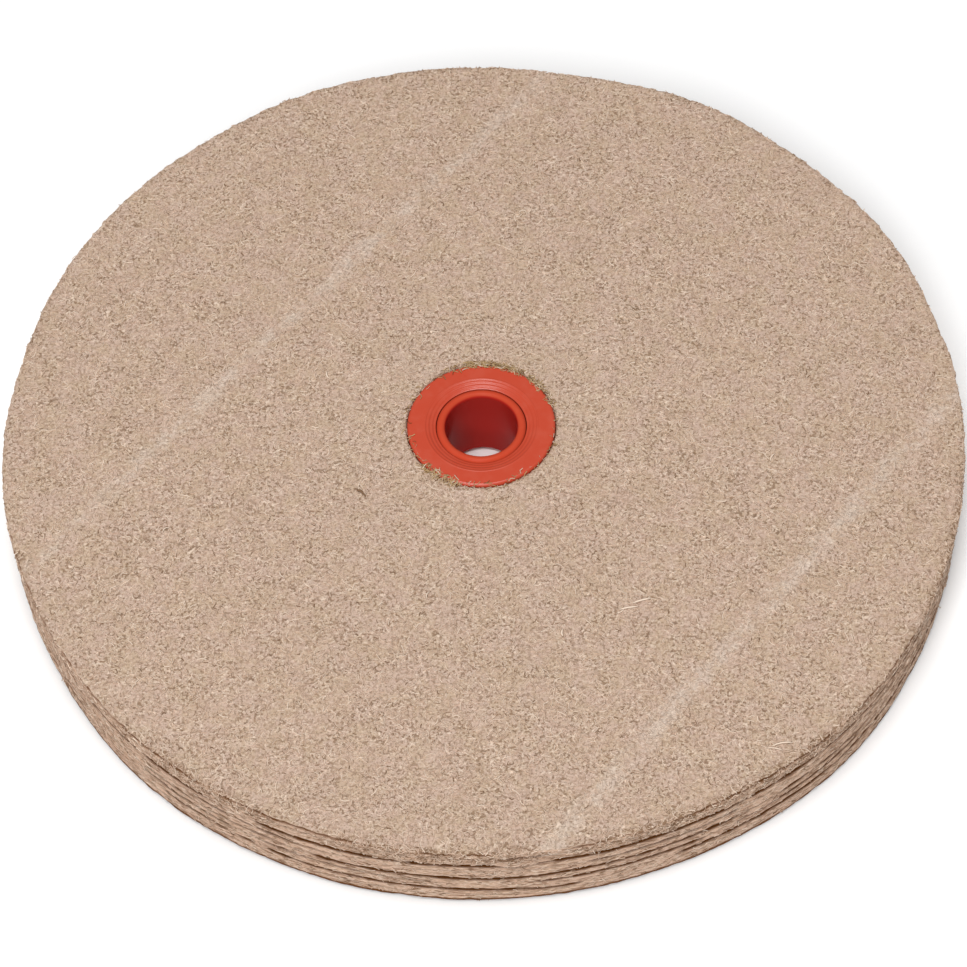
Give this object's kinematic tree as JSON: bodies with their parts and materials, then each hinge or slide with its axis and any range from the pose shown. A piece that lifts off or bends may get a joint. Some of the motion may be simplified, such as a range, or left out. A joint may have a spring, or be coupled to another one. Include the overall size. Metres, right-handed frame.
{
  "type": "felt polishing wheel",
  "caption": "Flat polishing wheel of stacked round felt plies clamped at the centre by a flanged snap-together plastic hub with a plain spindle bore.",
  "frame": {"origin": "centre of the hub's lower face, on the spindle axis", "axes": "+Z along the spindle axis, towards the face where the ring is pushed on; X and Y in the plane of the wheel, which is round, so their directions are free"},
  "size_m": [0.16, 0.16, 0.016],
  "materials": {
    "felt": "pressed wool felt, matte, short loose fibres",
    "hub_plastic": "moulded orange-red plastic, glossy"
  },
  "bodies": {
    "root": {"felt_disc_1": "felt", "felt_disc_2": "felt", "felt_disc_3": "felt", "felt_disc_4": "felt", "felt_disc_5": "felt", "felt_disc_6": "felt", "felt_disc_7": "felt", "felt_disc_8": "felt", "hub_sleeve": "hub_plastic", "hub_ring": "hub_plastic"}
  },
  "joints": []
}
